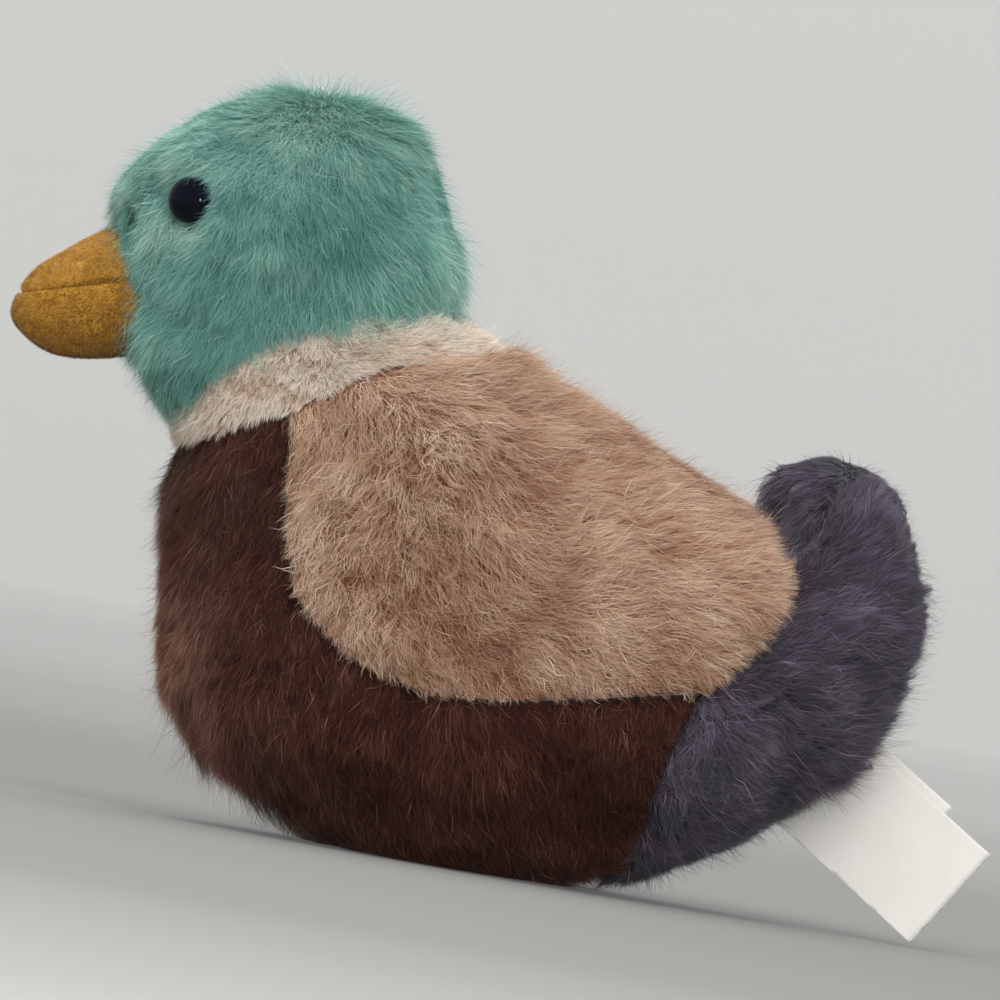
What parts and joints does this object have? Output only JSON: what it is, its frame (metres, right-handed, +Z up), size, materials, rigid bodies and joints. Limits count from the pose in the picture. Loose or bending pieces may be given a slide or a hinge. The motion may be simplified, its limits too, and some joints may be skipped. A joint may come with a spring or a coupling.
{
  "type": "plush duck",
  "caption": "Small sitting plush mallard drake with teal head, cream collar, tan back, brown breast, slate curled tail, suede bill, bead eyes and a blank ribbon label.",
  "frame": {"origin": "middle of the flat base of the belly gusset, on the surface that the toy sits on", "axes": "+Z up, the bill points to -Y, the toy's left side is towards +X"},
  "size_m": [0.067, 0.1586, 0.1095],
  "materials": {
    "teal_pile": "long soft pile, teal green",
    "cream_pile": "short soft pile, cream",
    "tan_pile": "long soft pile, tan",
    "brown_pile": "soft pile, dark brown",
    "slate_pile": "long soft pile, slate grey",
    "mustard_suede": "brushed suede cloth, mustard",
    "black_bead": "gloss, nearly black with a faint blue tint",
    "white_satin": "white satin ribbon, blank",
    "white_fibre": "loose polyester fibre fill",
    "clear_nylon": "moulded nylon washer",
    "bean_cloth": "thin woven pouch full of plastic beans"
  },
  "bodies": {
    "root": {"head_side_left": "teal_pile", "head_side_right": "teal_pile", "head_gusset": "teal_pile", "bill_upper": "mustard_suede", "bill_lower": "mustard_suede", "bill_stuffing": "white_fibre", "eye_left": "black_bead", "eye_right": "black_bead", "eye_washer_left": "clear_nylon", "eye_washer_right": "clear_nylon", "collar_left": "cream_pile", "collar_right": "cream_pile", "saddle_left": "tan_pile", "saddle_right": "tan_pile", "breast_left": "brown_pile", "breast_right": "brown_pile", "belly_gusset": "brown_pile", "tail_left": "slate_pile", "tail_right": "slate_pile", "label_front": "white_satin", "label_back": "white_satin", "head_stuffing": "white_fibre", "body_stuffing": "white_fibre", "tail_stuffing": "white_fibre", "bean_pouch": "bean_cloth"}
  },
  "joints": []
}
